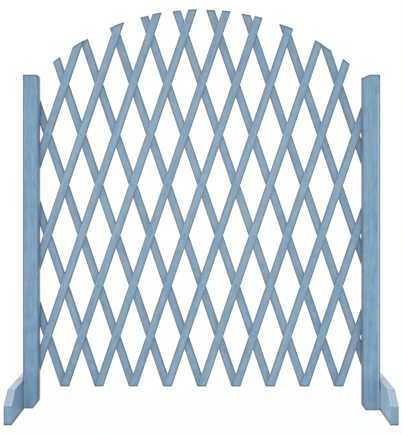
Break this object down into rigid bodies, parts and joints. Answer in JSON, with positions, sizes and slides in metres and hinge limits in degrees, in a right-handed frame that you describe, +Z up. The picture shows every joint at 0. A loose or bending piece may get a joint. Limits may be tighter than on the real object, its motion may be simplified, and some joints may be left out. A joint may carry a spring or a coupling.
{
  "type": "expanding fence",
  "caption": "Free-standing expanding garden fence: an arched scissor lattice of painted wooden slats that slides in two slotted posts on foot boards.",
  "frame": {"origin": "on the ground, midway between the two posts and midway through their depth", "axes": "+Z up, +X to the right along the fence, -Y is the front, the side the thicker stiles face"},
  "size_m": [0.9926, 0.29, 1.0729],
  "materials": {
    "slat_paint": "blue-grey paint, satin, thin over the grain",
    "post_paint": "blue-grey paint, satin, thin over the grain",
    "foot_paint": "blue-grey paint, satin",
    "rivet_paint": "painted over with the slats",
    "zinc_steel": "zinc plated"
  },
  "bodies": {
    "left_post": {"left_front_stile": "post_paint", "left_back_stile": "post_paint", "left_edge_strip": "post_paint", "left_base_block": "post_paint", "left_brads": "zinc_steel", "left_foot": "foot_paint", "left_foot_screws": "zinc_steel", "left_pivot_screw": "zinc_steel", "left_washer": "zinc_steel"},
    "right_post": {"right_front_stile": "post_paint", "right_back_stile": "post_paint", "right_edge_strip": "post_paint", "right_base_block": "post_paint", "right_brads": "zinc_steel", "right_foot": "foot_paint", "right_foot_screws": "zinc_steel", "right_pivot_screw": "zinc_steel", "right_washer": "zinc_steel"},
    "rising_01": {"rising_slat_01": "slat_paint", "rivets_01": "rivet_paint"},
    "rising_02": {"rising_slat_02": "slat_paint", "rivets_02": "rivet_paint"},
    "rising_03": {"rising_slat_03": "slat_paint", "rivets_03": "rivet_paint"},
    "rising_04": {"rising_slat_04": "slat_paint", "rivets_04": "rivet_paint"},
    "rising_05": {"rising_slat_05": "slat_paint", "rivets_05": "rivet_paint"},
    "rising_06": {"rising_slat_06": "slat_paint", "rivets_06": "rivet_paint"},
    "rising_07": {"rising_slat_07": "slat_paint", "rivets_07": "rivet_paint"},
    "rising_08": {"rising_slat_08": "slat_paint", "rivets_08": "rivet_paint"},
    "rising_09": {"rising_slat_09": "slat_paint", "rivets_09": "rivet_paint"},
    "rising_10": {"rising_slat_10": "slat_paint", "rivets_10": "rivet_paint"},
    "rising_11": {"rising_slat_11": "slat_paint", "rivets_11": "rivet_paint"},
    "rising_12": {"rising_slat_12": "slat_paint", "rivets_12": "rivet_paint"},
    "falling_01": {"falling_slat_01": "slat_paint"},
    "falling_02": {"falling_slat_02": "slat_paint"},
    "falling_03": {"falling_slat_03": "slat_paint"},
    "falling_04": {"falling_slat_04": "slat_paint"},
    "falling_05": {"falling_slat_05": "slat_paint"},
    "falling_06": {"falling_slat_06": "slat_paint"},
    "falling_07": {"falling_slat_07": "slat_paint"},
    "falling_08": {"falling_slat_08": "slat_paint"},
    "falling_09": {"falling_slat_09": "slat_paint"},
    "falling_10": {"falling_slat_10": "slat_paint"},
    "falling_11": {"falling_slat_11": "slat_paint"},
    "falling_12": {"falling_slat_12": "slat_paint"}
  },
  "joints": [
    {"name": "left_post_fold", "type": "hinge", "parent": "left_post", "child": "rising_02", "pos_m": [-0.461, 0, 0.32828], "axis": [0, 1, 0], "range_deg": [-13.5, 21.3]},
    {"name": "falling_06_rivet", "type": "hinge", "parent": "rising_02", "child": "falling_06", "pos_m": [-0.2305, 0, 1.00722], "axis": [0, 1, 0], "range_deg": [-42.6, 27]},
    {"name": "falling_01_rivet", "type": "hinge", "parent": "rising_02", "child": "falling_01", "pos_m": [-0.461, 0, 0.32828], "axis": [0, 1, 0], "range_deg": [-42.6, 27]},
    {"name": "falling_02_rivet", "type": "hinge", "parent": "rising_02", "child": "falling_02", "pos_m": [-0.4149, 0, 0.46406], "axis": [0, 1, 0], "range_deg": [-42.6, 27]},
    {"name": "falling_03_rivet", "type": "hinge", "parent": "rising_02", "child": "falling_03", "pos_m": [-0.3688, 0, 0.59985], "axis": [0, 1, 0], "range_deg": [-42.6, 27]},
    {"name": "falling_04_rivet", "type": "hinge", "parent": "rising_02", "child": "falling_04", "pos_m": [-0.3227, 0, 0.73564], "axis": [0, 1, 0], "range_deg": [-42.6, 27]},
    {"name": "falling_05_rivet", "type": "hinge", "parent": "rising_02", "child": "falling_05", "pos_m": [-0.2766, 0, 0.87143], "axis": [0, 1, 0], "range_deg": [-42.6, 27]},
    {"name": "rising_03_rivet", "type": "hinge", "parent": "falling_06", "child": "rising_03", "pos_m": [-0.1844, 0, 0.87143], "axis": [0, 1, 0], "range_deg": [-27, 42.6]},
    {"name": "rising_04_rivet", "type": "hinge", "parent": "falling_06", "child": "rising_04", "pos_m": [-0.1383, 0, 0.73564], "axis": [0, 1, 0], "range_deg": [-27, 42.6]},
    {"name": "rising_05_rivet", "type": "hinge", "parent": "falling_06", "child": "rising_05", "pos_m": [-0.0922, 0, 0.59985], "axis": [0, 1, 0], "range_deg": [-27, 42.6]},
    {"name": "rising_06_rivet", "type": "hinge", "parent": "falling_06", "child": "rising_06", "pos_m": [-0.0461, 0, 0.46406], "axis": [0, 1, 0], "range_deg": [-27, 42.6]},
    {"name": "rising_07_rivet", "type": "hinge", "parent": "falling_06", "child": "rising_07", "pos_m": [0, 0, 0.32828], "axis": [0, 1, 0], "range_deg": [-27, 42.6]},
    {"name": "rising_08_rivet", "type": "hinge", "parent": "falling_06", "child": "rising_08", "pos_m": [0.0461, 0, 0.19249], "axis": [0, 1, 0], "range_deg": [-27, 42.6]},
    {"name": "rising_01_rivet", "type": "hinge", "parent": "falling_03", "child": "rising_01", "pos_m": [-0.4149, 0, 0.73564], "axis": [0, 1, 0], "range_deg": [-27, 42.6]},
    {"name": "falling_07_rivet", "type": "hinge", "parent": "rising_08", "child": "falling_07", "pos_m": [0.0922, 0, 0.32828], "axis": [0, 1, 0], "range_deg": [-42.6, 27]},
    {"name": "falling_08_rivet", "type": "hinge", "parent": "rising_08", "child": "falling_08", "pos_m": [0.1383, 0, 0.46406], "axis": [0, 1, 0], "range_deg": [-42.6, 27]},
    {"name": "falling_09_rivet", "type": "hinge", "parent": "rising_08", "child": "falling_09", "pos_m": [0.1844, 0, 0.59985], "axis": [0, 1, 0], "range_deg": [-42.6, 27]},
    {"name": "falling_10_rivet", "type": "hinge", "parent": "rising_08", "child": "falling_10", "pos_m": [0.2305, 0, 0.73564], "axis": [0, 1, 0], "range_deg": [-42.6, 27]},
    {"name": "falling_11_rivet", "type": "hinge", "parent": "rising_08", "child": "falling_11", "pos_m": [0.2766, 0, 0.87143], "axis": [0, 1, 0], "range_deg": [-42.6, 27]},
    {"name": "rising_09_rivet", "type": "hinge", "parent": "falling_11", "child": "rising_09", "pos_m": [0.3227, 0, 0.73564], "axis": [0, 1, 0], "range_deg": [-27, 42.6]},
    {"name": "rising_10_rivet", "type": "hinge", "parent": "falling_11", "child": "rising_10", "pos_m": [0.3688, 0, 0.59985], "axis": [0, 1, 0], "range_deg": [-27, 42.6]},
    {"name": "rising_11_rivet", "type": "hinge", "parent": "falling_11", "child": "rising_11", "pos_m": [0.4149, 0, 0.46406], "axis": [0, 1, 0], "range_deg": [-27, 42.6]},
    {"name": "rising_12_rivet", "type": "hinge", "parent": "falling_11", "child": "rising_12", "pos_m": [0.461, 0, 0.32828], "axis": [0, 1, 0], "range_deg": [-27, 42.6]},
    {"name": "falling_12_rivet", "type": "hinge", "parent": "rising_10", "child": "falling_12", "pos_m": [0.4149, 0, 0.73564], "axis": [0, 1, 0], "range_deg": [-42.6, 27]},
    {"name": "right_post_fold", "type": "hinge", "parent": "falling_11", "child": "right_post", "pos_m": [0.461, 0, 0.32828], "axis": [0, 1, 0], "range_deg": [-13.5, 21.3]}
  ],
  "couplings": [
    {"joint": "falling_06_rivet", "follows": "left_post_fold", "ratio": -2},
    {"joint": "falling_01_rivet", "follows": "left_post_fold", "ratio": -2},
    {"joint": "falling_02_rivet", "follows": "left_post_fold", "ratio": -2},
    {"joint": "falling_03_rivet", "follows": "left_post_fold", "ratio": -2},
    {"joint": "falling_04_rivet", "follows": "left_post_fold", "ratio": -2},
    {"joint": "falling_05_rivet", "follows": "left_post_fold", "ratio": -2},
    {"joint": "rising_03_rivet", "follows": "left_post_fold", "ratio": 2},
    {"joint": "rising_04_rivet", "follows": "left_post_fold", "ratio": 2},
    {"joint": "rising_05_rivet", "follows": "left_post_fold", "ratio": 2},
    {"joint": "rising_06_rivet", "follows": "left_post_fold", "ratio": 2},
    {"joint": "rising_07_rivet", "follows": "left_post_fold", "ratio": 2},
    {"joint": "rising_08_rivet", "follows": "left_post_fold", "ratio": 2},
    {"joint": "rising_01_rivet", "follows": "left_post_fold", "ratio": 2},
    {"joint": "falling_07_rivet", "follows": "left_post_fold", "ratio": -2},
    {"joint": "falling_08_rivet", "follows": "left_post_fold", "ratio": -2},
    {"joint": "falling_09_rivet", "follows": "left_post_fold", "ratio": -2},
    {"joint": "falling_10_rivet", "follows": "left_post_fold", "ratio": -2},
    {"joint": "falling_11_rivet", "follows": "left_post_fold", "ratio": -2},
    {"joint": "rising_09_rivet", "follows": "left_post_fold", "ratio": 2},
    {"joint": "rising_10_rivet", "follows": "left_post_fold", "ratio": 2},
    {"joint": "rising_11_rivet", "follows": "left_post_fold", "ratio": 2},
    {"joint": "rising_12_rivet", "follows": "left_post_fold", "ratio": 2},
    {"joint": "falling_12_rivet", "follows": "left_post_fold", "ratio": -2},
    {"joint": "right_post_fold", "follows": "left_post_fold", "ratio": 1}
  ]
}
